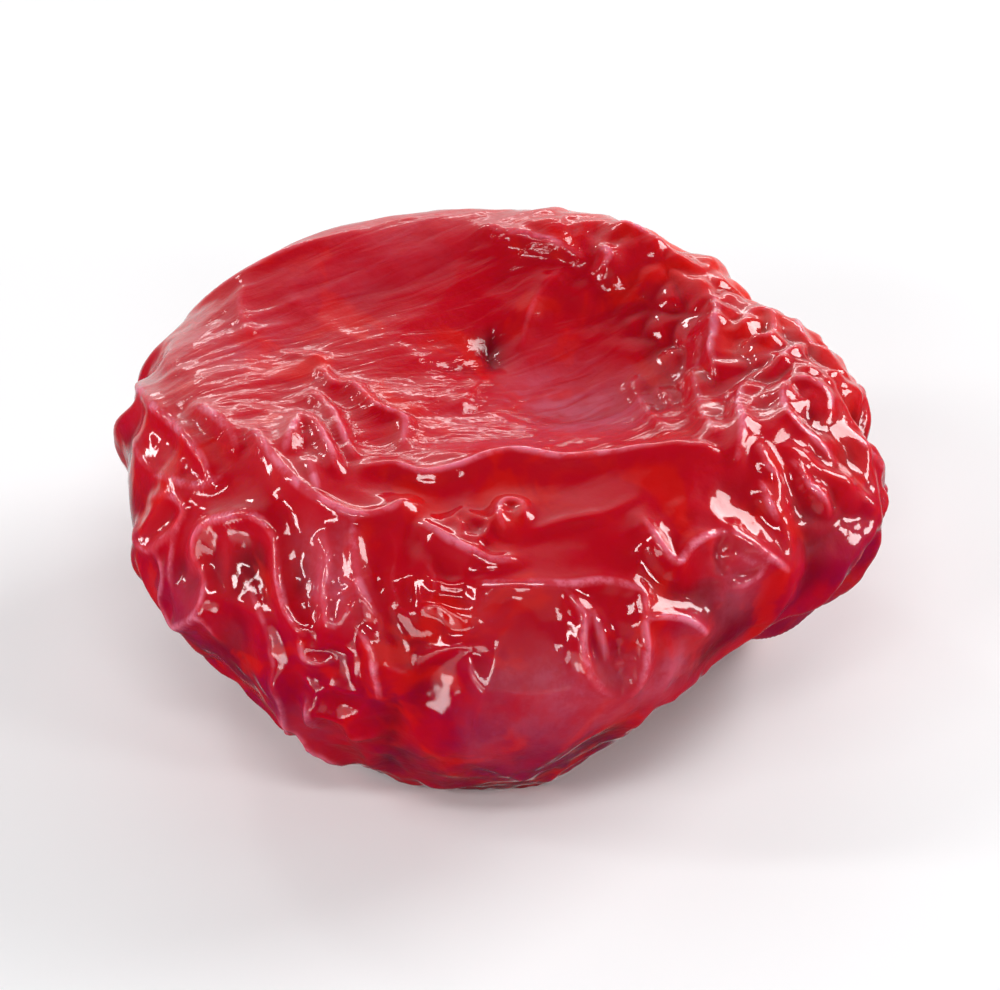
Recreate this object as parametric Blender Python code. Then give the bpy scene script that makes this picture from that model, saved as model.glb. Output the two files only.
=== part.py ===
"""A dried half plum, lying skin up on the rim of its cut side.

Metres, +Z up. The origin is on the surface that the plum lies on, under the middle of its box.
A point of the skin is found from two things: its bearing round the plum (0 is +X, 90 is +Y, the back)
and its station, from 0 at the middle of the top, round the rim, to 1 at the middle of the underside.
The folds that the photograph shows are routes over the skin, read off it by hand in its own pixels.
"""

import math

import bmesh
import bpy
import numpy as np
from mathutils import Vector, noise
from mathutils.bvhtree import BVHTree

MM = 0.001

# Driving dimensions
WIDTH = 46.0 * MM
DEPTH = 42.0 * MM
THICKNESS = 20.0 * MM
ROUNDNESS = 2.15  # 2 is an ellipse, more is squarer
TOP_SHIFT = 2.0 * MM  # how far back the top lies of the base
FOOT_SPREAD = 13.2 * MM  # from the plum's middle to each of its feet
FOOT_RADIUS = 3.0 * MM
FOOT_PRESS = 0.9 * MM  # how much of the rim each foot has pressed flat
FOOT_BEARINGS = (-93.0, 27.0, 150.0)
CLEARANCE = 0.45 * MM  # the rim's least height between the feet

# How fine the mesh is: faces along each edge of the cube that the mesh is blown up from
GRID = 29

# The photograph's view of the plum: degrees that it looks down, the pixel of the plum's foot, and its scale
VIEW_TILT = 37.0
VIEW_FOOT = (593.0, 679.0)
PIXEL = MM / 7.58

# Half a section through the plum: share of the half width, share of the thickness
SECTION = (
    (0.00, 0.87),
    (0.14, 0.872),
    (0.36, 0.89),
    (0.56, 0.93),
    (0.69, 0.965),
    (0.80, 0.945),
    (0.91, 0.83),
    (0.98, 0.66),
    (0.965, 0.46),
    (0.85, 0.24),
    (0.71, 0.08),
    (0.60, 0.02),
    (0.51, 0.07),
    (0.46, 0.16),
    (0.44, 0.25),
    (0.36, 0.31),
    (0.22, 0.38),
    (0.10, 0.45),
    (0.00, 0.47),
)

# Where the outline swells or pulls in: bearing, half width of the stretch in degrees, share of the radius
OUTLINE_SWELLS = (
    (38.0, 24.0, -0.075),
    (150.0, 24.0, -0.035),
    (-172.0, 16.0, -0.015),
    (-146.0, 22.0, -0.02),
    (-42.0, 20.0, -0.08),
    (-8.0, 16.0, 0.012),
)

# Where the rim's underside is clear of the surface: bearing, half width of the stretch in degrees, height
LIFTS = ((-36.0, 27.0, 5.9 * MM), (-164.0, 27.0, 4.0 * MM), (88.0, 30.0, 1.4 * MM))

# The stone's hollow is longer one way, with an uneven edge: waves round it, depth, bearing of a crest
HOLLOW_WAVES = ((2, 0.12, 20.0), (3, 0.05, 70.0), (5, 0.03, 10.0))

# Broad hollows and swells of the top: middle x and y, half width along x and y, height
TOP_SWELLS = (
    (6.0 * MM, 3.5 * MM, 8.5 * MM, 7.0 * MM, -2.6 * MM),
    (-8.0 * MM, 1.0 * MM, 6.0 * MM, 7.0 * MM, 0.9 * MM),
    (-15.5 * MM, 7.0 * MM, 6.5 * MM, 7.0 * MM, -1.3 * MM),
    (15.0 * MM, 11.0 * MM, 6.0 * MM, 6.0 * MM, -1.0 * MM),
    (2.0 * MM, -15.5 * MM, 13.0 * MM, 4.5 * MM, -1.9 * MM),
    (3.0 * MM, -7.8 * MM, 12.0 * MM, 3.0 * MM, 0.9 * MM),
)

# Folds: height and width in millimetres, and the route in pixels of the photograph
LEFT_FOLDS = (
    (1.5, 1.0, ((434, 566), (440, 572), (447, 580), (456, 588), (464, 597), (469, 605), (470, 609))),
    (1.1, 1.2, ((460, 577), (470, 584), (478, 592), (481, 598))),
    (0.9, 0.8, ((442, 606), (450, 608), (460, 611), (470, 611), (476, 607))),
    (0.8, 0.8, ((432, 588), (436, 597), (442, 605))),
    (1.1, 0.8, ((434, 628), (438, 636), (442, 639), (448, 635), (455, 628), (459, 622), (455, 617), (441, 616))),
    (1.2, 0.8, ((445, 639), (448, 650), (448, 662), (452, 668), (459, 670), (466, 663), (467, 654), (463, 642))),
    (0.8, 0.7, ((455, 631), (451, 641), (451, 651), (453, 659))),
    (0.7, 0.7, ((464, 664), (468, 672), (471, 679))),
    (1.6, 1.1, ((463, 642), (465, 633), (471, 628), (479, 626), (487, 625), (494, 628), (498, 635))),
    (1.5, 1.0, ((498, 635), (499, 645), (501, 656), (505, 666), (512, 675))),
    (0.7, 1.0, ((481, 648), (487, 659), (494, 671), (497, 686), (498, 700))),
    (1.5, 1.2, ((487, 590), (496, 603), (506, 614), (519, 623), (534, 628), (546, 626), (555, 621))),
    (1.2, 1.0, ((507, 583), (503, 591), (501, 600))),
    (1.3, 1.1, ((509, 584), (516, 594), (523, 608))),
    (1.0, 0.9, ((511, 602), (513, 609), (516, 617))),
    (0.7, 0.9, ((436, 556), (450, 542), (470, 525), (495, 510), (530, 497))),
    (0.6, 0.9, ((481, 520), (478, 532), (482, 545))),
)
FRONT_FOLDS = (
    (1.2, 1.1, ((536, 606), (548, 605), (560, 609), (575, 607), (600, 602), (620, 604), (642, 602), (686, 597))),
    (1.3, 1.0, ((531, 631), (533, 643), (536, 655), (542, 667))),
    (1.0, 1.2, ((519, 632), (522, 646), (520, 659), (524, 671), (533, 662))),
    (1.0, 0.8, ((535, 674), (539, 680), (541, 690), (543, 703))),
    (0.6, 0.7, ((545, 688), (556, 693))),
    (0.8, 0.8, ((509, 675), (511, 685), (522, 687))),
    (1.2, 1.0, ((560, 630), (569, 637), (580, 643), (592, 647), (601, 646))),
    (1.1, 1.3, ((585, 655), (605, 655), (625, 655), (642, 653), (657, 657))),
    (1.3, 0.9, ((624, 658), (630, 667), (630, 680), (634, 692), (643, 700))),
    (0.8, 0.7, ((634, 664), (638, 675), (641, 686))),
    (1.3, 0.9, ((657, 657), (656, 668), (657, 681), (656, 692), (650, 701))),
    (1.2, 0.9, ((657, 668), (666, 667), (676, 669), (686, 676))),
    (0.9, 0.6, ((594, 628), (597, 621), (604, 622), (607, 630), (603, 636), (596, 634), (594, 628))),
    (0.7, 0.8, ((582, 684), (584, 692), (589, 698))),
    (1.1, 0.9, ((498, 695), (502, 706), (500, 716))),
    (1.2, 0.9, ((509, 717), (518, 723), (529, 732))),
    (0.8, 0.7, ((513, 706), (516, 716))),
    (0.7, 0.7, ((528, 719), (537, 718))),
    (-0.45, 1.3, ((562, 686), (552, 700), (548, 716), (546, 733))),
    (0.5, 0.8, ((551, 704), (556, 693), (565, 684), (577, 680), (590, 679))),
    (0.4, 0.6, ((600, 637), (620, 630), (640, 626), (655, 617))),
)
RIGHT_FOLDS = (
    (1.5, 1.1, ((657, 628), (662, 637), (670, 645), (677, 637), (684, 633), (692, 631))),
    (1.5, 1.1, ((692, 631), (702, 637), (712, 643), (720, 648))),
    (0.8, 0.8, ((690, 641), (701, 643), (708, 647), (703, 653), (696, 655))),
    (1.5, 1.1, ((692, 527), (694, 540), (693, 553), (694, 565))),
    (1.2, 0.9, ((704, 566), (702, 578), (701, 590), (698, 601))),
    (0.8, 1.5, ((688, 545), (684, 560), (685, 575), (687, 590))),
    (1.0, 0.8, ((723, 565), (720, 574), (723, 583), (731, 589), (740, 596), (745, 601))),
    (0.9, 0.7, ((724, 565), (733, 566), (740, 572), (741, 580))),
    (1.6, 1.2, ((747, 543), (753, 553), (758, 566), (763, 580), (766, 593))),
    (1.0, 0.8, ((747, 581), (752, 590), (759, 598), (766, 604))),
    (0.8, 0.6, ((705, 541), (708, 533), (715, 532), (718, 539), (714, 547), (707, 546))),
    (1.2, 1.0, ((714, 517), (722, 530), (732, 544), (741, 553))),
    (0.8, 0.7, ((719, 556), (724, 551), (730, 547))),
    (1.1, 0.9, ((722, 600), (728, 608), (736, 616), (741, 624))),
    (1.0, 0.8, ((708, 609), (711, 618), (716, 627))),
    (1.0, 0.9, ((708, 594), (711, 603), (716, 607))),
    (0.8, 0.8, ((752, 611), (756, 619))),
    (0.9, 0.8, ((685, 583), (690, 592))),
)
TOP_FOLDS = (
    (0.6, 0.7, ((656, 563), (659, 575), (664, 583), (670, 590))),
    (0.5, 0.6, ((666, 566), (672, 573), (669, 581))),
    (0.9, 0.8, ((589, 494), (597, 498), (607, 500), (620, 503), (633, 508))),
    (0.9, 0.7, ((640, 503), (645, 508), (642, 514))),
    (1.0, 0.9, ((646, 493), (658, 498), (671, 505))),
    (0.6, 0.9, ((625, 513), (615, 522), (608, 535), (604, 550))),
    (0.9, 0.8, ((528, 567), (535, 575), (541, 581), (550, 584), (552, 595))),
    (0.7, 0.7, ((515, 560), (521, 569))),
    (0.9, 0.8, ((512, 572), (518, 578), (524, 590), (531, 601))),
    (-0.5, 0.5, ((592, 541), (591, 549), (593, 557))),
    (0.35, 0.5, ((573, 600), (590, 599), (610, 596), (630, 591), (647, 586))),
    (0.35, 0.5, ((578, 603), (600, 602), (625, 600), (650, 597), (672, 595))),
    (0.45, 0.4, ((588, 563), (582, 570), (576, 578))),
    (0.4, 0.4, ((500, 552), (514, 556), (520, 566), (529, 570))),
)
FOLDS = LEFT_FOLDS + FRONT_FOLDS + RIGHT_FOLDS + TOP_FOLDS

# Pouches and dents between the folds: height and radius in millimetres, and the pixel of the middle
POUCHES = (
    (1.3, 4.6, (600, 716)),
    (0.4, 4.0, (630, 630)),
    (0.3, 3.5, (603, 675)),
    (-0.2, 3.5, (565, 665)),
    (-0.5, 1.8, (644, 680)),
    (-0.8, 2.2, (480, 650)),
    (-0.6, 1.5, (513, 655)),
    (-0.5, 1.0, (457, 650)),
    (-0.5, 1.8, (449, 592)),
    (-0.6, 3.0, (690, 660)),
    (-0.7, 1.3, (731, 576)),
    (-0.6, 1.2, (757, 582)),
    (-0.5, 0.7, (711, 540)),
    (-0.5, 1.8, (672, 574)),
    (-0.3, 1.4, (592, 549)),
)
CREST_RADIUS = 0.3  # how round a fold's crest is, in millimetres
CREST_SHARE = 0.5  # how much of a fold's height is its sharp crest; the rest is its broad foot
CREST_WIDTH = 0.5  # width of the crest and of the foot, as shares of the fold's width
FOOT_WIDTH = 1.6
CREST_WIDEN = 0.5  # added to each crest's width, in millimetres, so that the mesh can follow it
FOLD_SHARPNESS = 3.0  # the power that folds are added at where they meet

# The net of wrinkles that the folds are part of: size of its cells, width of its ridges, height
WRINKLE_CELL = 7.0 * MM
WRINKLE_STRETCH = 0.55  # heights count for this much, so the cells of the side stand upright
WRINKLE_EDGE = 0.22
WRINKLE_CREST = 0.06
WRINKLE_HEIGHT = 1.7 * MM
WRINKLE_SWAY = 2.2 * MM
SINK = 0.65 * MM  # how far the skin between the ridges lies inside the base form
WRINKLE_SEED = Vector((3.7, 1.9, 5.2))
SWAY_SEEDS = (Vector((9.3, 1.5, 4.8)), Vector((0.6, 7.2, 3.1)), Vector((5.4, 2.7, 8.9)))

# Where the net is strong: stations between which it comes and goes, and its share outside the rim
RIM_TOP = (0.24, 0.36)
RIM_FOOT = (0.76, 0.66)
FLESH_EDGE = (0.72, 0.80)
FLESH_MIDDLE = (1.0, 0.9)
NET_ON_TOP = 0.09
NET_ON_FLESH = 0.5
NET_UNDER_FOLDS = 0.15
NET_GIVES_WAY = 0.5 * MM  # height of a fold that takes the net's place
SMOOTH_BACK = (125.0, 50.0, 0.10)  # bearing, half width, and how much further down the net starts there
TRACED_FRONT = (-90.0, 70.0, 0.85)  # bearing, half width, and how much of the net gives way there


def smooth_through(points, fractions):
    """The smooth curve through some points, read at fractions of its length."""
    points = np.asarray(points, float)
    steps = np.linalg.norm(np.diff(points, axis=0), axis=1)
    knots = np.concatenate([[0.0], np.cumsum(steps)]) / steps.sum()
    slopes = np.gradient(points, knots, axis=0)
    piece = np.clip(np.searchsorted(knots, fractions, side="right") - 1, 0, len(knots) - 2)
    width = (knots[piece + 1] - knots[piece])[:, None]
    t = (fractions - knots[piece])[:, None] / width
    return (
        (2 * t**3 - 3 * t**2 + 1) * points[piece]
        + (t**3 - 2 * t**2 + t) * width * slopes[piece]
        + (3 * t**2 - 2 * t**3) * points[piece + 1]
        + (t**3 - t**2) * width * slopes[piece + 1]
    )


def step_up(low, high, value):
    """0 below low, 1 above high, and smooth between."""
    t = np.clip((value - low) / (high - low), 0.0, 1.0)
    return t * t * (3 - 2 * t)


def bump(distance, half):
    """1 at no distance, fading to nothing past twice the half width."""
    return np.exp(-((distance / half) ** 2))


def turned(bearing, middle):
    """The turn from one bearing to others, from -180 to 180 degrees."""
    return (np.degrees(bearing) - middle + 180.0) % 360.0 - 180.0


def ball(grid):
    """An even ball of radius 1: a cube of grid by grid faces a side, blown up."""
    mesh = bmesh.new()
    bmesh.ops.create_cube(mesh, size=2.0)
    bmesh.ops.subdivide_edges(mesh, edges=mesh.edges[:], cuts=grid - 1, use_grid_fill=True)
    for vertex in mesh.verts:
        spread = [math.tan(part * math.pi / 4) for part in vertex.co]
        vertex.co = Vector(spread).normalized()
    return mesh


def outline(bearing):
    """Half the plum's width along each bearing."""
    across = np.abs(np.cos(bearing) / (WIDTH / 2)) ** ROUNDNESS
    along = np.abs(np.sin(bearing) / (DEPTH / 2)) ** ROUNDNESS
    radius = (across + along) ** (-1 / ROUNDNESS)
    for middle, half, share in OUTLINE_SWELLS:
        radius = radius * (1 + share * bump(turned(bearing, middle), half))
    return radius


def base_form(directions):
    """The plum without its folds, at each direction out of the ball's middle."""
    bearing = np.arctan2(directions[:, 1], directions[:, 0])
    station = np.arccos(np.clip(directions[:, 2], -1.0, 1.0)) / math.pi
    out, up = smooth_through(SECTION, station).T
    radius = outline(bearing) * out
    inside = step_up(0.70, 0.76, station)
    for count, depth, middle in HOLLOW_WAVES:
        radius = radius * (1 + depth * inside * np.cos(count * (bearing - math.radians(middle))))
    x = radius * np.cos(bearing)
    y = radius * np.sin(bearing) + TOP_SHIFT * (up - 0.5)
    z = up * THICKNESS
    under = step_up(0.75, 0.0, up) * step_up(0.95, 0.75, station)
    for middle, half, height in LIFTS:
        z = z + height * under * bump(turned(bearing, middle), half)
    over = step_up(0.46, 0.2, station)
    for mid_x, mid_y, half_x, half_y, height in TOP_SWELLS:
        z = z + height * over * bump(x - mid_x, half_x) * bump(y - mid_y, half_y)
    return np.stack([x, y, z], axis=1), bearing, station


def seen_at(tree, pixel):
    """The place on the skin that the photograph shows at a pixel."""
    tilt = math.radians(VIEW_TILT)
    ahead = Vector((0.0, math.cos(tilt), -math.sin(tilt)))
    right = (pixel[0] - VIEW_FOOT[0]) * PIXEL
    up = (VIEW_FOOT[1] - pixel[1]) * PIXEL
    middle = Vector((right, up * math.sin(tilt), up * math.cos(tilt)))
    place, _, _, _ = tree.ray_cast(middle - ahead * WIDTH, ahead)
    return place or tree.find_nearest(middle)[0]


def fold_relief(places, tree, fold):
    """How far one fold stands out of the skin at each place, in metres."""
    height, width, pixels = fold
    height, width, crest = height * MM, width * MM, CREST_RADIUS * MM
    corners = [seen_at(tree, pixel) for pixel in pixels]
    route = smooth_through(corners, np.linspace(0.0, 1.0, 4 * len(corners)))
    relief = np.zeros(len(places))
    reach = 8 * width
    close = np.all((places > route.min(axis=0) - reach) & (places < route.max(axis=0) + reach), axis=1)
    start, run = route[:-1], np.diff(route, axis=0)
    offset = places[close][:, None, :] - start
    part = np.clip((offset * run).sum(axis=2) / (run * run).sum(axis=1), 0.0, 1.0)
    gap = np.linalg.norm(offset - part[:, :, None] * run, axis=2)
    nearest = gap.argmin(axis=1)
    rows = np.arange(len(gap))
    along = (nearest + part[rows, nearest]) / len(run)
    fade = 0.5 + 0.5 * np.sqrt(np.clip(np.sin(math.pi * along), 0.0, 1.0))
    from_crest = np.hypot(gap[rows, nearest], crest) - crest
    profile = CREST_SHARE * np.exp(-from_crest / (CREST_WIDTH * width + CREST_WIDEN * MM))
    profile = profile + (1 - CREST_SHARE) * np.exp(-from_crest / (FOOT_WIDTH * width))
    relief[close] = height * fade * profile
    return relief


def all_folds(places, tree):
    """How far the folds that the photograph shows stand out of the skin."""
    ridges = np.zeros(len(places))
    creases = np.zeros(len(places))
    for fold in FOLDS:
        relief = fold_relief(places, tree, fold)
        if fold[0] > 0:
            ridges = ridges + relief**FOLD_SHARPNESS
        else:
            creases = creases + relief
    return ridges ** (1 / FOLD_SHARPNESS) + creases


def sway(spot):
    """A soft shift in all three directions, the same at each run: up to about 1 each way."""
    return Vector([noise.noise(spot + seed) for seed in SWAY_SEEDS])


def wrinkle_net(places):
    """The net of wrinkles: 1 along its ridges, falling to 0 inside its cells."""
    net = np.empty(len(places))
    for index, (x, y, z) in enumerate(places):
        spot = Vector((x, y, z * WRINKLE_STRETCH))
        shifted = spot + sway(spot / WRINKLE_CELL * 1.3 + WRINKLE_SEED) * WRINKLE_SWAY
        distances, _ = noise.voronoi(shifted / WRINKLE_CELL + WRINKLE_SEED)
        net[index] = distances[1] - distances[0]
    return np.exp(-(np.hypot(net, WRINKLE_CREST) - WRINKLE_CREST) / WRINKLE_EDGE)


def pouches(places, tree):
    """How far the skin between the folds swells out, or sinks in where it is less than nothing."""
    relief = np.zeros(len(places))
    for height, radius, pixel in POUCHES:
        gap = np.linalg.norm(places - np.array(seen_at(tree, pixel)), axis=1)
        relief = relief + height * MM * bump(gap, radius * MM)
    return relief


def relief_of(places, bearing, station, tree):
    """How far the skin stands out of the base form: folds, pouches and the net of wrinkles."""
    folds = all_folds(places, tree)
    behind = bump(turned(bearing, SMOOTH_BACK[0]), SMOOTH_BACK[1])
    below_top = station - SMOOTH_BACK[2] * behind
    on_side = step_up(*RIM_TOP, below_top) * step_up(*RIM_FOOT, station)
    on_top = NET_ON_TOP * step_up(*RIM_TOP[::-1], station)
    on_flesh = NET_ON_FLESH * step_up(*FLESH_EDGE, station) * step_up(*FLESH_MIDDLE, station)
    in_front = step_up(*RIM_FOOT, station) * bump(turned(bearing, TRACED_FRONT[0]), TRACED_FRONT[1])
    room = np.exp(-np.maximum(folds, 0.0) / NET_GIVES_WAY) * (1 - TRACED_FRONT[2] * in_front)
    on_rim = on_side * (NET_UNDER_FOLDS + (1 - NET_UNDER_FOLDS) * room)
    net = WRINKLE_HEIGHT * wrinkle_net(places) * (on_rim + on_top + on_flesh)
    return folds + net + pouches(places, tree) - SINK * on_side


def eased(mesh, values):
    """The values, each drawn halfway to the mean of its neighbours'."""
    ends = np.array([[end.index for end in edge.verts] for edge in mesh.edges])
    total = np.zeros(len(values))
    count = np.zeros(len(values))
    for here, there in (ends.T, ends.T[::-1]):
        np.add.at(total, here, values[there])
        np.add.at(count, here, 1)
    return (values + total / count) / 2


def set_down(places):
    """The places with the rim pressed flat at three feet, and just clear of the surface between them."""
    x, y, z = places.T.copy()
    clearance = np.full(len(z), CLEARANCE)
    for bearing in FOOT_BEARINGS:
        turn = math.radians(bearing)
        gap = np.hypot(x - FOOT_SPREAD * math.cos(turn), y - FOOT_SPREAD * math.sin(turn))
        lowest = z[gap < FOOT_RADIUS].min()
        z = z - (lowest + FOOT_PRESS) * bump(gap, 2 * FOOT_RADIUS) * step_up(THICKNESS / 2, 0.0, z)
        clearance = clearance * (1 - bump(gap, 1.2 * FOOT_RADIUS)) ** 4
    z = np.maximum(z, np.where(clearance < 0.02 * MM, 0.0, clearance))
    return np.stack([x, y, z], axis=1)


def centred(places):
    """The places moved sideways until their box stands over the origin."""
    middle = (places.min(axis=0) + places.max(axis=0)) / 2
    return places - (middle[0], middle[1], 0.0)


def dried_skin():
    """The deep red, glossy skin."""
    material = bpy.data.materials.new("dried plum skin")
    material.use_nodes = True
    shader = material.node_tree.nodes["Principled BSDF"]
    shader.inputs["Base Color"].default_value = (0.45, 0.008, 0.022, 1.0)
    shader.inputs["Roughness"].default_value = 0.22
    shader.inputs["Metallic"].default_value = 0.0
    return material


def main():
    for old in list(bpy.data.objects):
        bpy.data.objects.remove(old)
    mesh = ball(GRID)
    directions = np.array([vertex.co for vertex in mesh.verts])
    places, bearing, station = base_form(directions)
    for vertex, place in zip(mesh.verts, places):
        vertex.co = place
    mesh.normal_update()
    mesh.verts.index_update()
    outward = np.array([vertex.normal for vertex in mesh.verts])
    tree = BVHTree.FromBMesh(mesh)
    relief = eased(mesh, relief_of(places, bearing, station, tree))
    places = places + outward * relief[:, None]
    places = centred(set_down(places))
    for vertex, place in zip(mesh.verts, places):
        vertex.co = place
    data = bpy.data.meshes.new("plum")
    mesh.to_mesh(data)
    mesh.free()
    data.shade_smooth()
    data.materials.append(dried_skin())
    plum = bpy.data.objects.new("plum", data)
    bpy.context.scene.collection.objects.link(plum)


main()
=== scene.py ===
import math
from typing import NamedTuple

import bmesh
import bpy
import numpy as np
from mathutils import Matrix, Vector, noise
from mathutils.bvhtree import BVHTree


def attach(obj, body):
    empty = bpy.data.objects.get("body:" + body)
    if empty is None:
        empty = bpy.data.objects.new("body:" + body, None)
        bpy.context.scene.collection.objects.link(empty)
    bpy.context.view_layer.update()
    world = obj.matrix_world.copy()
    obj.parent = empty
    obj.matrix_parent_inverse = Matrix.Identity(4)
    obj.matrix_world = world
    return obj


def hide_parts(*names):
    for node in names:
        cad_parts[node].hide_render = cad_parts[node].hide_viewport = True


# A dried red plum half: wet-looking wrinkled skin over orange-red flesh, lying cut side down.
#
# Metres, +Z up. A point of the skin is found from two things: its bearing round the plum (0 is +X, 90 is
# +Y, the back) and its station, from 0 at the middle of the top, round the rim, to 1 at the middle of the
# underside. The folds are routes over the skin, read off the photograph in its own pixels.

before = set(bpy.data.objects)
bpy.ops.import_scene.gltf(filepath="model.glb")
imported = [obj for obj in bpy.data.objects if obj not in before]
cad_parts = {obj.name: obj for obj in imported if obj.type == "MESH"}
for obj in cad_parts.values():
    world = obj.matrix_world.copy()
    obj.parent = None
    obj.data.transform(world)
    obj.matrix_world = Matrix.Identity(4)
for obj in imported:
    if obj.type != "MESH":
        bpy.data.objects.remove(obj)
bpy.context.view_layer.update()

MM = 0.001

# The plum's driving dimensions, as in the solid that this skin stands for
WIDTH = 46.0 * MM
DEPTH = 42.0 * MM
THICKNESS = 20.0 * MM
ROUNDNESS = 2.15  # 2 is an ellipse, more is squarer
TOP_SHIFT = 2.0 * MM  # how far back the top lies of the base
FOOT_SPREAD = 13.2 * MM  # from the plum's middle to each of its feet
FOOT_RADIUS = 3.0 * MM
FOOT_PRESS = 0.9 * MM  # how much of the rim each foot has pressed flat
FOOT_BEARINGS = (-93.0, 27.0, 150.0)
FOOT_PULL = 2.0  # how far round a foot the rim is drawn down with it, in radii of the foot
FOOT_FLAT = 1.2  # how far round a foot the rim comes nearer the surface, in radii of the foot
CLEARANCE = 0.45 * MM  # the rim's least height between the feet
TOUCHING = 0.02 * MM  # a clearance under this is none

# How fine the skin is: faces along each edge of the cube that it is blown up from
GRID = 127

# The photograph's view of the plum: degrees that it looks down, the pixel of the plum's foot, the pixel at
# the middle of the picture made here, the photograph's width in pixels, and its scale
VIEW_TILT = 37.0
VIEW_FOOT = (593.0, 679.0)
VIEW_MIDDLE = (593.0, 616.0)
PHOTO_WIDTH = 1000
PIXEL = MM / 7.58
ENLARGEMENT = 2.2  # how much larger than in the photograph the plum is shown
LENS = 300.0  # millimetres, as is the next
SENSOR = 36.0

# Half a section through the plum: share of the half width, share of the thickness
SECTION = (
    (0.00, 0.87),
    (0.14, 0.872),
    (0.36, 0.89),
    (0.56, 0.93),
    (0.69, 0.965),
    (0.80, 0.945),
    (0.91, 0.83),
    (0.98, 0.66),
    (0.965, 0.46),
    (0.85, 0.24),
    (0.71, 0.08),
    (0.60, 0.02),
    (0.51, 0.07),
    (0.46, 0.16),
    (0.44, 0.25),
    (0.36, 0.31),
    (0.22, 0.38),
    (0.10, 0.45),
    (0.00, 0.47),
)

# Stations between which a part of the base form comes or goes
HOLLOW_EDGE = (0.70, 0.76)
UNDERSIDE = (0.95, 0.75)
TOP_SIDE = (0.46, 0.20)

# Where the outline swells or pulls in: bearing, half width of the stretch in degrees, share of the radius
OUTLINE_SWELLS = (
    (38.0, 24.0, -0.075),
    (150.0, 24.0, -0.035),
    (-172.0, 16.0, -0.015),
    (-146.0, 22.0, -0.02),
    (-42.0, 20.0, -0.08),
    (-8.0, 16.0, 0.012),
)

# Where the rim's underside is clear of the surface: bearing, half width of the stretch in degrees, height
LIFTS = ((-36.0, 27.0, 5.9 * MM), (-164.0, 27.0, 4.0 * MM), (88.0, 30.0, 1.4 * MM))
LIFT_FADE = (0.75, 0.0)  # a lift grows from nothing to its full height between these shares of the thickness

# The stone's hollow is longer one way, with an uneven edge: waves round it, depth, bearing of a crest
HOLLOW_WAVES = ((2, 0.12, 20.0), (3, 0.05, 70.0), (5, 0.03, 10.0))

# Broad hollows and swells of the top: middle x and y, half width along x and y, height
TOP_SWELLS = (
    (6.0 * MM, 3.5 * MM, 8.5 * MM, 7.0 * MM, -2.6 * MM),
    (-8.0 * MM, 1.0 * MM, 6.0 * MM, 7.0 * MM, 0.9 * MM),
    (-15.5 * MM, 7.0 * MM, 6.5 * MM, 7.0 * MM, -1.3 * MM),
    (15.0 * MM, 11.0 * MM, 6.0 * MM, 6.0 * MM, -1.0 * MM),
    (2.0 * MM, -15.5 * MM, 13.0 * MM, 4.5 * MM, -1.9 * MM),
    (3.0 * MM, -7.8 * MM, 12.0 * MM, 3.0 * MM, 0.9 * MM),
)

# Folds: height and width in millimetres, and the route in pixels of the photograph. A height less than
# nothing is a crease.
LEFT_FOLDS = (
    (1.5, 1.0, ((434, 566), (440, 572), (447, 580), (456, 588), (464, 597), (469, 605), (470, 609))),
    (1.1, 1.2, ((460, 577), (470, 584), (478, 592), (481, 598))),
    (0.9, 0.8, ((442, 606), (450, 608), (460, 611), (470, 611), (476, 607))),
    (0.8, 0.8, ((432, 588), (436, 597), (442, 605))),
    (1.1, 0.8, ((434, 628), (438, 636), (442, 639), (448, 635), (455, 628), (459, 622), (455, 617), (441, 616))),
    (1.2, 0.8, ((445, 639), (448, 650), (448, 662), (452, 668), (459, 670), (466, 663), (467, 654), (463, 642))),
    (0.8, 0.7, ((455, 631), (451, 641), (451, 651), (453, 659))),
    (0.7, 0.7, ((464, 664), (468, 672), (471, 679))),
    (1.6, 1.1, ((463, 642), (465, 633), (471, 628), (479, 626), (487, 625), (494, 628), (498, 635))),
    (1.5, 1.0, ((498, 635), (499, 645), (501, 656), (505, 666), (512, 675))),
    (0.7, 1.0, ((481, 648), (487, 659), (494, 671), (497, 686), (498, 700))),
    (1.5, 1.2, ((487, 590), (496, 603), (506, 614), (519, 623), (534, 628), (546, 626), (555, 621))),
    (1.2, 1.0, ((507, 583), (503, 591), (501, 600))),
    (1.3, 1.1, ((509, 584), (516, 594), (523, 608))),
    (1.0, 0.9, ((511, 602), (513, 609), (516, 617))),
    (0.7, 0.9, ((436, 556), (450, 542), (470, 525), (495, 510), (530, 497))),
    (0.6, 0.9, ((481, 520), (478, 532), (482, 545))),
)
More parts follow.
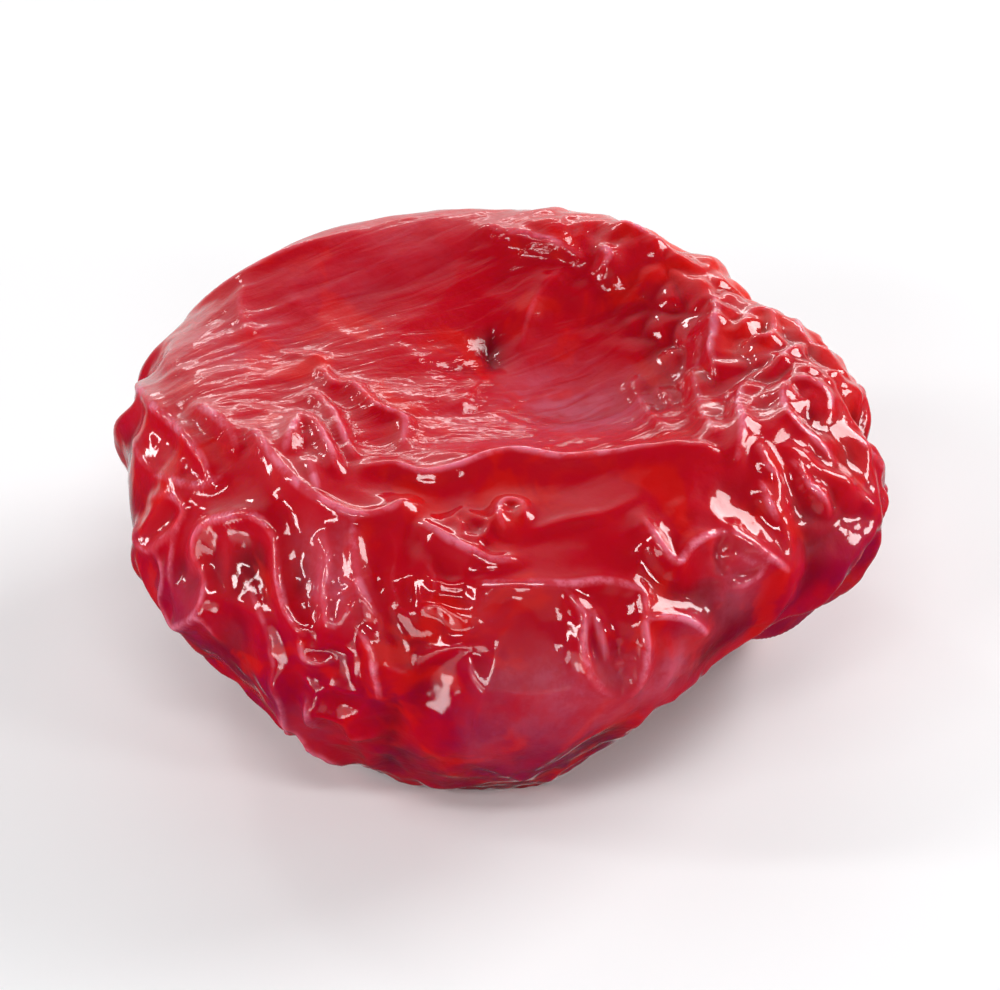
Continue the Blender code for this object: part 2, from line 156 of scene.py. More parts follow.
FRONT_FOLDS = (
    (1.2, 1.1, ((536, 606), (548, 605), (560, 609), (575, 607), (600, 602), (620, 604), (642, 602), (686, 597))),
    (1.3, 1.0, ((531, 631), (533, 643), (536, 655), (542, 667))),
    (1.0, 1.2, ((519, 632), (522, 646), (520, 659), (524, 671), (533, 662))),
    (1.0, 0.8, ((535, 674), (539, 680), (541, 690), (543, 703))),
    (0.6, 0.7, ((545, 688), (556, 693))),
    (0.8, 0.8, ((509, 675), (511, 685), (522, 687))),
    (1.2, 1.0, ((560, 630), (569, 637), (580, 643), (592, 647), (601, 646))),
    (0.5, 1.2, ((545, 628), (550, 640), (549, 655), (556, 668))),
    (0.5, 0.9, ((559, 642), (567, 652), (564, 666))),
    (1.1, 1.3, ((585, 655), (605, 655), (625, 655), (642, 653), (657, 657))),
    (1.3, 0.9, ((624, 658), (630, 667), (630, 680), (634, 692), (643, 700))),
    (0.8, 0.7, ((634, 664), (638, 675), (641, 686))),
    (1.3, 0.9, ((657, 657), (656, 668), (657, 681), (656, 692), (650, 701))),
    (1.2, 0.9, ((657, 668), (666, 667), (676, 669), (686, 676))),
    (0.8, 0.7, ((597, 635), (594, 628), (598, 621), (604, 622), (606, 629))),
    (0.7, 0.8, ((582, 684), (584, 692), (589, 698))),
    (1.7, 0.9, ((498, 692), (502, 704), (501, 716))),
    (1.7, 0.9, ((508, 713), (517, 721), (528, 730))),
    (1.3, 0.7, ((513, 702), (516, 714))),
    (0.7, 0.7, ((528, 719), (537, 718))),
    (-0.45, 1.3, ((562, 686), (552, 700), (548, 716), (546, 733))),
    (0.5, 0.8, ((551, 704), (556, 693), (565, 684), (577, 680), (590, 679))),
    (0.4, 0.6, ((600, 637), (620, 630), (640, 626), (655, 617))),
    (0.4, 0.8, ((577, 700), (592, 697), (610, 698), (626, 697))),
    (0.35, 0.8, ((634, 716), (618, 724), (604, 735))),
    (0.35, 0.9, ((571, 707), (568, 720), (574, 734))),
)
RIGHT_FOLDS = (
    (1.5, 1.1, ((657, 628), (662, 637), (670, 645), (677, 637), (684, 633), (692, 631))),
    (1.5, 1.1, ((692, 631), (702, 637), (712, 643), (720, 648))),
    (0.8, 0.8, ((690, 641), (701, 643), (708, 647), (703, 653), (696, 655))),
    (1.5, 1.1, ((692, 527), (694, 540), (693, 553), (694, 565))),
    (1.2, 0.9, ((704, 566), (702, 578), (701, 590), (698, 601))),
    (0.8, 1.5, ((688, 545), (684, 560), (685, 575), (687, 590))),
    (1.0, 0.8, ((723, 565), (720, 574), (723, 583), (731, 589), (740, 596), (745, 601))),
    (0.9, 0.7, ((724, 565), (733, 566), (740, 572), (741, 580))),
    (1.6, 1.2, ((747, 543), (753, 553), (758, 566), (763, 580), (766, 593))),
    (1.0, 0.8, ((747, 581), (752, 590), (759, 598), (766, 604))),
    (0.8, 0.6, ((705, 541), (708, 533), (715, 532), (718, 539), (714, 547), (707, 546))),
    (1.2, 1.0, ((714, 517), (722, 530), (732, 544), (741, 553))),
    (0.8, 0.7, ((719, 556), (724, 551), (730, 547))),
    (1.1, 0.9, ((722, 600), (728, 608), (736, 616), (741, 624))),
    (1.0, 0.8, ((708, 609), (711, 618), (716, 627))),
    (1.0, 0.9, ((708, 594), (711, 603), (716, 607))),
    (0.8, 0.8, ((752, 611), (756, 619))),
    (0.9, 0.8, ((685, 583), (690, 592))),
)
TOP_FOLDS = (
    (0.6, 0.7, ((656, 563), (659, 575), (664, 583), (670, 590))),
    (0.5, 0.6, ((666, 566), (672, 573), (669, 581))),
    (0.9, 0.8, ((589, 494), (597, 498), (607, 500), (620, 503), (633, 508))),
    (0.9, 0.7, ((640, 503), (645, 508), (642, 514))),
    (1.0, 0.9, ((646, 493), (658, 498), (671, 505))),
    (0.6, 0.9, ((625, 513), (615, 522), (608, 535), (604, 550))),
    (0.9, 0.8, ((528, 567), (535, 575), (541, 581), (550, 584), (552, 595))),
    (0.7, 0.7, ((515, 560), (521, 569))),
    (0.9, 0.8, ((512, 572), (518, 578), (524, 590), (531, 601))),
    (-0.5, 0.5, ((592, 541), (591, 549), (593, 557))),
    (0.35, 0.5, ((573, 600), (590, 599), (610, 596), (630, 591), (647, 586))),
    (0.35, 0.5, ((578, 603), (600, 602), (625, 600), (650, 597), (672, 595))),
    (0.45, 0.4, ((588, 563), (582, 570), (576, 578))),
    (0.4, 0.4, ((500, 552), (514, 556), (520, 566), (529, 570))),
)
FOLDS = LEFT_FOLDS + FRONT_FOLDS + RIGHT_FOLDS + TOP_FOLDS

# Pouches and dents between the folds: height and radius in millimetres, and the pixel of the middle
POUCHES = (
    (1.3, 4.6, (600, 716)),
    (0.4, 4.0, (630, 630)),
    (0.35, 0.9, (602, 630)),
    (0.3, 3.5, (603, 675)),
    (0.2, 3.5, (570, 664)),
    (-0.5, 1.8, (644, 680)),
    (-0.45, 2.2, (480, 650)),
    (-0.35, 1.5, (513, 655)),
    (-0.5, 1.0, (457, 650)),
    (-0.5, 1.8, (449, 592)),
    (-0.4, 1.3, (731, 576)),
    (-0.35, 1.2, (757, 582)),
    (-0.5, 0.7, (711, 540)),
    (-0.5, 1.8, (672, 574)),
    (-0.3, 1.4, (592, 549)),
)

# Where a pale film with a painted sheen lies on the skin, or is missing: its strength, radius in millimetres,
# pixel of the middle
FILM_AND_SHEEN = (
    (0.5, 2.8, (474, 554)),
    (0.4, 4.5, (500, 532)),
    (0.35, 4.5, (540, 515)),
    (0.15, 2.4, (482, 585)),
    (0.25, 4.5, (560, 588)),
    (1.1, 4.5, (625, 572)),
    (0.6, 3.0, (645, 583)),
    (0.4, 4.0, (600, 590)),
    (0.35, 3.5, (560, 490)),
    (-0.6, 4.0, (650, 527)),
    (-0.4, 3.5, (535, 560)),
    (-0.5, 4.0, (560, 550)),
    (0.4, 2.6, (583, 722)),
    (0.6, 2.6, (672, 690)),
    (0.3, 3.0, (690, 655)),
    (0.4, 2.4, (600, 697)),
    (0.6, 1.8, (520, 640)),
    (0.5, 2.2, (700, 648)),
    (0.5, 2.0, (590, 668)),
    (0.5, 2.0, (520, 655)),
    (0.4, 2.0, (735, 640)),
    (0.3, 2.5, (640, 700)),
    (0.3, 1.8, (478, 675)),
)
FILM_AND_SHEEN_CLOUD = 7.0 * MM  # size of the patches of film and painted sheen elsewhere
FILM_AND_SHEEN_CLOUD_STRENGTH = 0.5
FILM_AND_SHEEN_GAPS = 0.12  # more leaves more of the skin bare
FILM_AND_SHEEN_START = (0.2, 0.4)  # the patches elsewhere come in between these stations
FILM_AND_SHEEN_SEED = Vector((2.0, 6.0, 4.0))

# The section of a fold: a sharp crest on a broad foot
CREST_HIGHLIGHT_HALF_WIDTH = 0.30 * MM  # half width of a crest's painted highlight line
CREST_RADIUS = 0.14 * MM
CREST_SHARE = 0.62  # how much of a fold's height is its sharp crest; the rest is its broad foot
CREST_WIDTH = 0.45  # width of the crest and of the foot, as shares of the fold's width
FOOT_WIDTH = 1.6
FOLD_END = 0.5  # a fold's height at its ends, as a share of its full height
FOLD_REACH = 8  # a fold ends this many of its widths away
FOLD_SHARPNESS = 3.0  # the power that folds are added at where they meet
ROUTE_STEPS = 4  # points of a smooth route for each pixel that is given
FULL_HIGHLIGHT = 1.0  # the least height in millimetres of a fold whose painted highlight line is at its full strength


class Net(NamedTuple):
    """A net of ridges round uneven cells."""

    cell: float  # size of its cells
    stretch: float  # heights count for this much: under 1, the cells of the side stand upright
    sway: float  # how far its ridges wander
    edge: float  # width of its ridges, and how round their crests are, as shares of a cell
    crest: float
    seed: Vector


# The large wrinkles that the folds are part of, finer ones in patches, bulges with creases between them on
# the right of the rim, and puckers low on the side
WRINKLES = Net(7.0 * MM, 0.55, 2.2 * MM, 0.22, 0.06, Vector((3.7, 1.9, 5.2)))
CRINKLES = Net(2.3 * MM, 0.8, 0.8 * MM, 0.25, 0.08, Vector((11.3, 4.1, 8.6)))
BULGES = Net(2.7 * MM, 0.9, 1.0 * MM, 0.4, 0.12, Vector((4.4, 8.8, 2.2)))
PUCKERS = Net(4.2 * MM, 0.7, 1.2 * MM, 0.3, 0.08, Vector((6.1, 9.4, 0.7)))
WRINKLE_HEIGHT = 1.7 * MM
CRINKLE_HEIGHT = 0.50 * MM
BULGE_HEIGHT = 0.70 * MM
PUCKER_HEIGHT = 0.38 * MM
BULGE_LEVEL = 0.4  # the part of a bulge's or pucker's height that lies inside the skin
PUCKER_LEVEL = 0.3
SINK = 0.65 * MM  # how far the skin between the large wrinkles lies inside the base form
SWAY_SEEDS = (Vector((9.3, 1.5, 4.8)), Vector((0.6, 7.2, 3.1)), Vector((5.4, 2.7, 8.9)))
SWAY_PACE = 1.3  # how quickly the sway changes, for each cell

# Where the large wrinkles are strong: stations between which they come and go, and their share elsewhere
RIM_TOP = (0.24, 0.36)
RIM_FOOT = (0.76, 0.66)
FLESH_EDGE = (0.72, 0.80)
FLESH_MIDDLE = (1.0, 0.9)
NET_ON_TOP = 0.09
NET_ON_FLESH = 0.2
NET_UNDER_FOLDS = 0.15
NET_GIVES_WAY = 0.5 * MM  # height of a fold that takes the net's place
NET_HIGHLIGHT_HEIGHTS = (0.6, 0.95)  # heights of the net between which its painted highlight line comes in
NET_HIGHLIGHT = 0.5  # strength of that painted highlight
SMOOTH_BACK = (125.0, 50.0, 0.10)  # bearing, half width, and how much further down the net starts there
TRACED_FRONT = (-90.0, 70.0, 0.85)  # bearing, half width, and how much of the net gives way there

# Where the crinkles are: in patches all round the rim, and at these places that the photograph shows, each
# with its radius in millimetres and the pixel of its middle
CRINKLED = (
    (2.4, (526, 660)),
    (3.0, (516, 706)),
    (1.8, (646, 676)),
    (2.2, (690, 640)),
    (1.8, (585, 632)),
    (1.6, (574, 660)),
    (1.8, (620, 497)),
    (1.8, (655, 503)),
)
CRINKLES_THERE = 1.2  # how strong they are at those places, in the patches, and at most
CRINKLES_ELSEWHERE = 0.6
CRINKLES_MOST = 1.3
CRINKLE_PATCH = 9.0 * MM
CRINKLE_PATCH_EDGE = (-0.15, 0.25)
CRINKLE_PATCH_SEED = Vector((5.0, 1.0, 2.0))
CRINKLE_FOOT = (0.74, 0.66)

# Where the bulges are, and where the puckers are: bearing and half width of the bulges, and stations
BULGED = (18.0, 48.0)
BULGE_TOP = (0.14, 0.22)
BULGE_FOOT = (0.56, 0.45)
PUCKER_TOP = (0.46, 0.58)
PUCKER_FOOT = (0.76, 0.68)

# Fine drawn lines of the sunken top, towards its dent: their bearing, spacing, length and height
STREAK_BEARING = 30.0
STREAK_SPACING = 1.3 * MM
STREAK_LENGTH = 7.0 * MM
STREAK_HEIGHT = 0.10 * MM
STREAK_SEED = Vector((2.0, 7.0, 1.0))
STREAK_EDGE = (0.40, 0.28)  # stations between which the lines come in
BAND = (-10.5 * MM, -6.5 * MM)  # the lines fade out between these depths, before the front band
SWELL_SPACING = 3.4 * MM
SWELL_LENGTH = 9.0 * MM
SWELL_HEIGHT = 0.20 * MM
SWELL_SEED = Vector((8.0, 3.0, 5.0))

# Fibres of the cut flesh
FIBRE_SPACING = 0.7 * MM
FIBRE_LENGTH = 3 * FIBRE_SPACING
FIBRE_HEIGHT = 0.24 * MM
FIBRE_START = (0.74, 0.80)
FIBRE_SEED = Vector((1.0, 2.0, 3.0))

# Where the finish changes. The skin ends between two stations, on an uneven line. A painted glow of light
# through the thin skin lies at one bearing, over a half width in degrees, and at one station, over a half width
# in stations.
SKIN_END = (0.70, 0.735)
SKIN_END_SWAY = 0.02
SKIN_END_CLOUD = 2.5 * MM
SKIN_END_SEED = Vector((9.0, 3.0, 6.0))
GLOW_BEARING = (70.0, 55.0)
GLOW_STATION = (0.36, 0.06)
DARK_SIDE = (0.34, 0.5)
MEMBRANE_EDGE = (0.35, 0.26)
FULL_RIDGE = 1.5 * MM  # the height of a ridge, or depth of a crease, that the finish knows as 1


def smooth_through(points, fractions):
    """The smooth curve through some points, read at fractions of its length."""
    points = np.asarray(points, float)
    steps = np.linalg.norm(np.diff(points, axis=0), axis=1)
    knots = np.concatenate([[0.0], np.cumsum(steps)]) / steps.sum()
    slopes = np.gradient(points, knots, axis=0)
    piece = np.clip(np.searchsorted(knots, fractions, side="right") - 1, 0, len(knots) - 2)
    width = (knots[piece + 1] - knots[piece])[:, None]
    t = (fractions - knots[piece])[:, None] / width
    return (
        (2 * t**3 - 3 * t**2 + 1) * points[piece]
        + (t**3 - 2 * t**2 + t) * width * slopes[piece]
        + (3 * t**2 - 2 * t**3) * points[piece + 1]
        + (t**3 - t**2) * width * slopes[piece + 1]
    )


def step_up(low, high, value):
    """0 below low, 1 above high, and smooth between."""
    t = np.clip((value - low) / (high - low), 0.0, 1.0)
    return t * t * (3 - 2 * t)


def bump(distance, half):
    """1 at no distance, about a third at the half width, and near nothing past twice that."""
    return np.exp(-((distance / half) ** 2))


def turned(bearing, middle):
    """The turn from one bearing to others, from -180 to 180 degrees."""
    return (np.degrees(bearing) - middle + 180.0) % 360.0 - 180.0


def ball(grid):
    """An even ball of radius 1: a cube of grid by grid faces a side, blown up."""
    mesh = bmesh.new()
    bmesh.ops.create_cube(mesh, size=2.0)
    bmesh.ops.subdivide_edges(mesh, edges=mesh.edges[:], cuts=grid - 1, use_grid_fill=True)
    for vertex in mesh.verts:
        spread = [math.tan(part * math.pi / 4) for part in vertex.co]
        vertex.co = Vector(spread).normalized()
    return mesh


def outline(bearing):
    """Half the plum's width along each bearing."""
    across = np.abs(np.cos(bearing) / (WIDTH / 2)) ** ROUNDNESS
    along = np.abs(np.sin(bearing) / (DEPTH / 2)) ** ROUNDNESS
    radius = (across + along) ** (-1 / ROUNDNESS)
    for middle, half, share in OUTLINE_SWELLS:
        radius = radius * (1 + share * bump(turned(bearing, middle), half))
    return radius


def base_form(directions):
    """The plum without its folds, at each direction out of the ball's middle."""
    bearing = np.arctan2(directions[:, 1], directions[:, 0])
    station = np.arccos(np.clip(directions[:, 2], -1.0, 1.0)) / math.pi
    out, up = smooth_through(SECTION, station).T
    radius = outline(bearing) * out
    inside = step_up(*HOLLOW_EDGE, station)
    for count, depth, middle in HOLLOW_WAVES:
        radius = radius * (1 + depth * inside * np.cos(count * (bearing - math.radians(middle))))
    x = radius * np.cos(bearing)
    y = radius * np.sin(bearing) + TOP_SHIFT * (up - 0.5)
    z = up * THICKNESS
    under = step_up(*LIFT_FADE, up) * step_up(*UNDERSIDE, station)
    for middle, half, height in LIFTS:
        z = z + height * under * bump(turned(bearing, middle), half)
    over = step_up(*TOP_SIDE, station)
    for mid_x, mid_y, half_x, half_y, height in TOP_SWELLS:
        z = z + height * over * bump(x - mid_x, half_x) * bump(y - mid_y, half_y)
    return np.stack([x, y, z], axis=1), bearing, station


def seen_at(tree, pixel):
    """The place on the skin that the photograph shows at a pixel."""
    tilt = math.radians(VIEW_TILT)
    ahead = Vector((0.0, math.cos(tilt), -math.sin(tilt)))
    right = (pixel[0] - VIEW_FOOT[0]) * PIXEL
    up = (VIEW_FOOT[1] - pixel[1]) * PIXEL
    middle = Vector((right, up * math.sin(tilt), up * math.cos(tilt)))
    place, _, _, _ = tree.ray_cast(middle - ahead * WIDTH, ahead)
    return place or tree.find_nearest(middle)[0]


def fold_relief(places, tree, fold):
    """How far one fold stands out of the skin at each place, in metres, and how near its crest is, as the
    strength of a painted highlight line.
    """
    height, width, pixels = fold
    height = height * MM
    width = width * MM
    corners = [seen_at(tree, pixel) for pixel in pixels]
    route = smooth_through(corners, np.linspace(0.0, 1.0, ROUTE_STEPS * len(corners)))
    relief = np.zeros(len(places))
    highlight_line = np.zeros(len(places))
    reach = FOLD_REACH * width
    close = np.all((places > route.min(axis=0) - reach) & (places < route.max(axis=0) + reach), axis=1)
    start = route[:-1]
    run = np.diff(route, axis=0)
    offset = places[close][:, None, :] - start
    part = np.clip((offset * run).sum(axis=2) / (run * run).sum(axis=1), 0.0, 1.0)
    gap = np.linalg.norm(offset - part[:, :, None] * run, axis=2)
    nearest = gap.argmin(axis=1)
    rows = np.arange(len(gap))
    along = (nearest + part[rows, nearest]) / len(run)
    fade = FOLD_END + (1 - FOLD_END) * np.sqrt(np.clip(np.sin(math.pi * along), 0.0, 1.0))
    from_crest = (np.hypot(gap[rows, nearest], CREST_RADIUS) - CREST_RADIUS) / width
    profile = CREST_SHARE * np.exp(-from_crest / CREST_WIDTH)
    profile = profile + (1 - CREST_SHARE) * np.exp(-from_crest / FOOT_WIDTH)
    relief[close] = height * fade * profile
    # a painted highlight line along the crest
    highlight_line[close] = fade * bump(gap[rows, nearest], CREST_HIGHLIGHT_HALF_WIDTH)
    return relief, highlight_line


def all_folds(places, tree):
    """How far the folds that the photograph shows stand out of the skin, and the painted highlight lines on
    their crests.
    """
    ridges = np.zeros(len(places))
    creases = np.zeros(len(places))
    crest_highlights = np.zeros(len(places))
    for fold in FOLDS:
        relief, highlight_line = fold_relief(places, tree, fold)
        height = fold[0]
        if height > 0:
            ridges = ridges + relief**FOLD_SHARPNESS
            crest_highlights = np.maximum(crest_highlights, highlight_line * min(1.0, height / FULL_HIGHLIGHT))
        else:
            creases = creases + relief
    return ridges ** (1 / FOLD_SHARPNESS) + creases, crest_highlights


def sway(spot):
    """A soft shift in all three directions, the same at each run: up to about 1 each way."""
    return Vector([noise.noise(spot + seed) for seed in SWAY_SEEDS])


def ridge_net(places, net):
    """How high a net stands at each place: 1 along its ridges, falling to 0 inside the cells between."""
    gaps = np.empty(len(places))
    for index, (x, y, z) in enumerate(places):
        spot = Vector((x, y, z * net.stretch))
        shifted = spot + sway(spot / net.cell * SWAY_PACE + net.seed) * net.sway
        distances, _ = noise.voronoi(shifted / net.cell + net.seed)
        gaps[index] = distances[1] - distances[0]
    return np.exp(-(np.hypot(gaps, net.crest) - net.crest) / net.edge)


def cloud(places, size, seed, octaves):
    """Soft random values about 0, with features of a size: a number, or one each for x, y and z."""
    scaled = places / np.asarray(size)
    return np.array([noise.fractal(Vector(spot) + seed, 1.0, 2.0, octaves) for spot in scaled])


def round_pixel(places, tree, pixel, radius):
    """1 at the place that the photograph shows at a pixel, falling to 0 round it over some millimetres."""
    return bump(np.linalg.norm(places - np.array(seen_at(tree, pixel)), axis=1), radius * MM)


def pouches(places, tree):
    """How far the skin between the folds swells out, or sinks in where it is less than nothing."""
    relief = np.zeros(len(places))
    for height, radius, pixel in POUCHES:
        relief = relief + height * MM * round_pixel(places, tree, pixel, radius)
    return relief


def film_and_sheen_strength(places, station, tree):
    """How strong the pale film and its painted sheen are at each place: the patches of the photograph, and more
    elsewhere.
    """
    film_and_sheen = FILM_AND_SHEEN_CLOUD_STRENGTH * cloud(places, FILM_AND_SHEEN_CLOUD, FILM_AND_SHEEN_SEED, 3) * step_up(*FILM_AND_SHEEN_START, station)
    film_and_sheen = film_and_sheen - FILM_AND_SHEEN_GAPS
    for strength, radius, pixel in FILM_AND_SHEEN:
        film_and_sheen = film_and_sheen + strength * round_pixel(places, tree, pixel, radius)
    return np.clip(film_and_sheen, 0.0, 1.0)


def start_of_rim(bearing, station):
    """How far each place is into the top of the rim, from 0 to 1. The smooth back starts further down."""
    behind = bump(turned(bearing, SMOOTH_BACK[0]), SMOOTH_BACK[1])
    return step_up(*RIM_TOP, station - SMOOTH_BACK[2] * behind)


def coarse_relief(places, bearing, station, tree):
    """How far folds, pouches and the net of wrinkles stand out of the base form, the painted highlight lines on
    the crests, and the room that the folds leave for finer wrinkles."""
    folds, crest_highlights = all_folds(places, tree)
    on_side = start_of_rim(bearing, station) * step_up(*RIM_FOOT, station)
    on_top = NET_ON_TOP * step_up(*RIM_TOP[::-1], station)
    on_flesh = NET_ON_FLESH * step_up(*FLESH_EDGE, station) * step_up(*FLESH_MIDDLE, station)
    in_front = step_up(*RIM_FOOT, station) * bump(turned(bearing, TRACED_FRONT[0]), TRACED_FRONT[1])
    room = np.exp(-np.maximum(folds, 0.0) / NET_GIVES_WAY) * (1 - TRACED_FRONT[2] * in_front)
    on_rim = on_side * (NET_UNDER_FOLDS + (1 - NET_UNDER_FOLDS) * room)
    net = ridge_net(places, WRINKLES)
    height = WRINKLE_HEIGHT * net * (on_rim + on_top + on_flesh)
    # painted highlight lines along the net's crests too
    crest_highlights = np.maximum(crest_highlights, NET_HIGHLIGHT * step_up(*NET_HIGHLIGHT_HEIGHTS, net) * on_rim)
    return folds + height + pouches(places, tree) - SINK * on_side, crest_highlights, room


def streaks(places, spacing, length, seed):
    """Soft ridges of the sunken top, drawn out along one bearing."""
    turn = math.radians(STREAK_BEARING)
    along = places[:, 0] * math.cos(turn) + places[:, 1] * math.sin(turn)
    across = places[:, 1] * math.cos(turn) - places[:, 0] * math.sin(turn)
    flat = np.stack([along / length, across / spacing, np.zeros(len(places))], axis=1)
    return cloud(flat, 1.0, seed, 3)


def right_rim(bearing, station):
    """1 on the right of the rim, where the skin bulges between creases, falling to 0 round it."""
    near = bump(turned(bearing, BULGED[0]), BULGED[1])
    return near * step_up(*BULGE_TOP, station) * step_up(*BULGE_FOOT, station)


def crinkles(places, bearing, station, tree, room):
    """The fine wrinkles: where the photograph shows them, and in patches that the folds leave room for."""
    shown = np.zeros(len(places))
    for radius, pixel in CRINKLED:
        shown = shown + round_pixel(places, tree, pixel, radius)
    patches = step_up(*CRINKLE_PATCH_EDGE, cloud(places, CRINKLE_PATCH, CRINKLE_PATCH_SEED, 2))
    on_rim = start_of_rim(bearing, station) * step_up(*CRINKLE_FOOT, station)
    share = CRINKLES_ELSEWHERE * on_rim * patches * room + CRINKLES_THERE * shown
    return CRINKLE_HEIGHT * ridge_net(places, CRINKLES) * np.clip(share, 0.0, CRINKLES_MOST)


def lines_of_the_top(places, station):
    """The fine drawn lines and soft swells of the sunken top."""
    on_top = step_up(*STREAK_EDGE, station) * step_up(*BAND, places[:, 1])
    fine = STREAK_HEIGHT * streaks(places, STREAK_SPACING, STREAK_LENGTH, STREAK_SEED)
    broad = SWELL_HEIGHT * streaks(places, SWELL_SPACING, SWELL_LENGTH, SWELL_SEED)
    return (fine + broad) * on_top


def fine_relief(places, bearing, station, tree, room):
    """The finer wrinkles of the skin, the lines of the top and the fibres of the flesh."""
    on_right = right_rim(bearing, station)
    relief = crinkles(places, bearing, station, tree, room) * (1 - on_right)
    relief = relief + BULGE_HEIGHT * (BULGE_LEVEL - ridge_net(places, BULGES)) * on_right
    on_low = step_up(*PUCKER_TOP, station) * step_up(*PUCKER_FOOT, station)
    relief = relief + PUCKER_HEIGHT * (ridge_net(places, PUCKERS) - PUCKER_LEVEL) * on_low
    relief = relief + lines_of_the_top(places, station)
    fibres = cloud(places, (FIBRE_LENGTH, FIBRE_SPACING, FIBRE_SPACING), FIBRE_SEED, 4)
    return relief + FIBRE_HEIGHT * fibres * step_up(*FIBRE_START, station)


def set_down(places):
    """The places with the rim pressed flat at three feet, and just clear of the surface between them."""
    x, y, z = places.T.copy()
    clearance = np.full(len(z), CLEARANCE)
    for bearing in FOOT_BEARINGS:
        turn = math.radians(bearing)
        gap = np.hypot(x - FOOT_SPREAD * math.cos(turn), y - FOOT_SPREAD * math.sin(turn))
        lowest = z[gap < FOOT_RADIUS].min()
        z = z - (lowest + FOOT_PRESS) * bump(gap, FOOT_PULL * FOOT_RADIUS) * step_up(THICKNESS / 2, 0.0, z)
        clearance = clearance * (1 - bump(gap, FOOT_FLAT * FOOT_RADIUS)) ** 4
    z = np.maximum(z, np.where(clearance < TOUCHING, 0.0, clearance))
    return np.stack([x, y, z], axis=1)


def centred(places):
    """The places moved sideways until their box stands over the origin."""
    middle = (places.min(axis=0) + places.max(axis=0)) / 2
    return places - (middle[0], middle[1], 0.0)


def eased(mesh, values, rounds):
    """The values, each drawn halfway to the mean of its neighbours', some rounds over."""
    ends = np.array([[end.index for end in edge.verts] for edge in mesh.edges])
    here = np.concatenate([ends[:, 0], ends[:, 1]])
    there = np.concatenate([ends[:, 1], ends[:, 0]])
    count = np.bincount(here, minlength=len(values))
    for _ in range(rounds):
        total = np.bincount(here, weights=values[there], minlength=len(values))
        values = (values + total / count) / 2
    return values


def write_attribute(data, name, values):
    """Keeps a value at each of the mesh's points for the materials to read."""
    layer = data.attributes.new(name, "FLOAT", "POINT")
    layer.data.foreach_set("value", np.asarray(values, np.float32))


def mark_skin(data, places, bearing, station, relief, crest_highlights, tree):
    """Keeps what the finish needs to know at each point of the skin."""
    uneven = SKIN_END_SWAY * cloud(places, SKIN_END_CLOUD, SKIN_END_SEED, 3)
    write_attribute(data, "flesh", step_up(*SKIN_END, station + uneven))
    # the relief, which also sets the painted shade in the creases
    write_attribute(data, "ridge", np.clip(relief / FULL_RIDGE, -1.0, 1.0))
    # where a painted glow stands in for light through the thin skin
    backlit_glow = bump(turned(bearing, GLOW_BEARING[0]), GLOW_BEARING[1])
    write_attribute(data, "backlit_glow", backlit_glow * bump(station - GLOW_STATION[0], GLOW_STATION[1]))
    write_attribute(data, "side", step_up(*DARK_SIDE, station))
    sunken = step_up(*MEMBRANE_EDGE, station) * step_up(*BAND, places[:, 1])
    write_attribute(data, "membrane", sunken * (1 - right_rim(bearing, station)))
    # the pale film, partly a painted sheen of soft reflections
    write_attribute(data, "film_and_sheen", film_and_sheen_strength(places, station, tree))
    # painted highlight lines along the crests
    write_attribute(data, "crest", crest_highlights)


def make_plum():
    """The whole plum half as one closed skin."""
    mesh = ball(GRID)
    mesh.verts.index_update()
    directions = np.array([vertex.co for vertex in mesh.verts])
    places, bearing, station = base_form(directions)
    for vertex, place in zip(mesh.verts, places):
        vertex.co = place
    mesh.normal_update()
    outward = np.array([vertex.normal for vertex in mesh.verts])
    tree = BVHTree.FromBMesh(mesh)
    coarse, crest_highlights, room = coarse_relief(places, bearing, station, tree)
    fine = fine_relief(places, bearing, station, tree, room)
    relief = eased(mesh, coarse, 2) + eased(mesh, fine, 1)
    crest_highlights = eased(mesh, crest_highlights, 1)
    moved = centred(set_down(places + outward * relief[:, None]))
    for vertex, place in zip(mesh.verts, moved):
        vertex.co = place
    data = bpy.data.meshes.new("dried_plum_half")
    mesh.to_mesh(data)
    mesh.free()
    data.shade_smooth()
    mark_skin(data, places, bearing, station, relief, crest_highlights, tree)
    plum = bpy.data.objects.new("dried_plum_half", data)
    bpy.context.scene.collection.objects.link(plum)
    return plum


